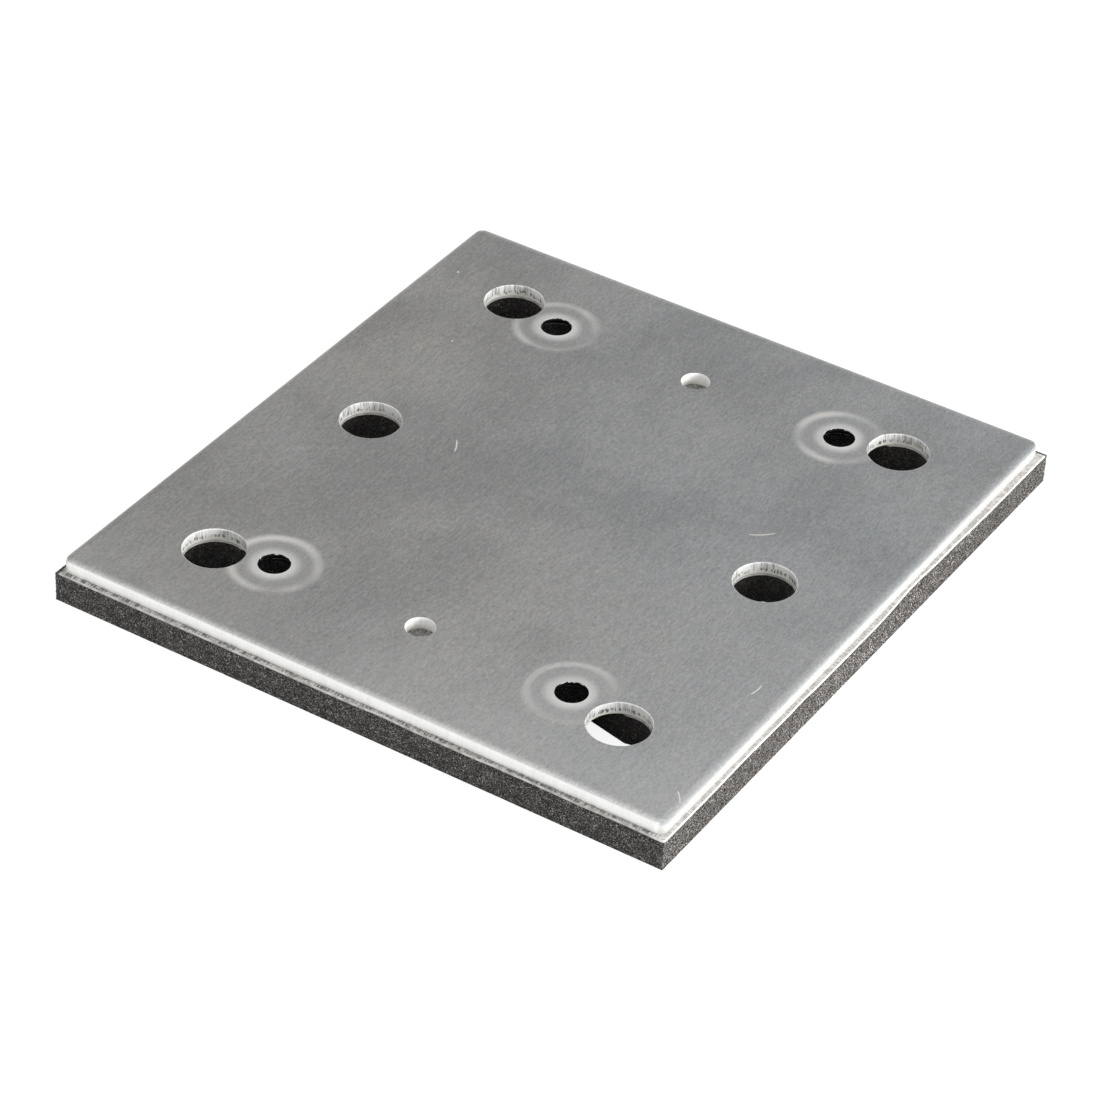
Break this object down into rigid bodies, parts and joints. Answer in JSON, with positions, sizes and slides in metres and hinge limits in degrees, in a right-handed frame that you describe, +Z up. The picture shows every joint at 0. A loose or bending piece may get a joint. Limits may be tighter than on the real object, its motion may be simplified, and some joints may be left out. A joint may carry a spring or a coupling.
{
  "type": "sander backing plate",
  "caption": "Rectangular backing plate for an orbital sheet sander: punched aluminium sheet with dust, screw and locating holes, bonded to a black foam pad with matching cut-outs.",
  "frame": {"origin": "middle of the pad's underside", "axes": "+Z up through the plate, from the foam pad to the metal top; +Y along the plate's longer side; +X across it"},
  "size_m": [0.1014, 0.1094, 0.007],
  "materials": {
    "plate_metal": "mill finish with fine grain, bright cut edges",
    "bonding_film": "thin clear adhesive film, bright at its cut edge",
    "pad_foam": "matt black cellular rubber with a fine open-celled cut face"
  },
  "bodies": {
    "root": {"backing_plate": "plate_metal", "adhesive_film": "bonding_film", "foam_pad": "pad_foam"}
  },
  "joints": []
}
